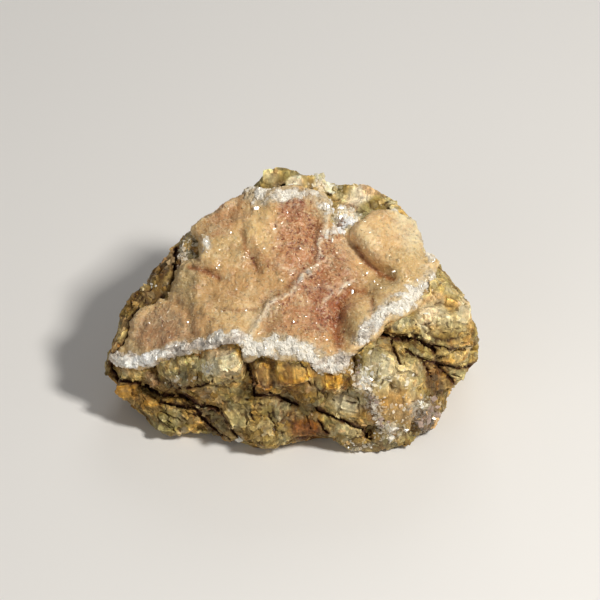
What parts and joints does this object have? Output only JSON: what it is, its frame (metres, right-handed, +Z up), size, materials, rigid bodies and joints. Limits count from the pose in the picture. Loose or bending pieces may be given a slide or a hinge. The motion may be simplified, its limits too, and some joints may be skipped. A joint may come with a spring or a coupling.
{
  "type": "magnesite specimen",
  "caption": "Broken block of ochre host rock with a peach druse of magnesite crystals over its sloping show face.",
  "frame": {"origin": "middle of the flat patches that the rock rests on, at the bottom of its bounding box", "axes": "+Z up; the crystal-crusted show face looks up and towards -Y; +X to the right of someone facing it"},
  "size_m": [0.089, 0.0648, 0.0469],
  "materials": {
    "host_rock": "rough broken rock, ochre to olive with rust-brown seams",
    "magnesite": "fine sparkling druse, peach to pink with a sugary white broken edge"
  },
  "bodies": {
    "root": {"matrix": "host_rock", "crust": "magnesite"}
  },
  "joints": []
}
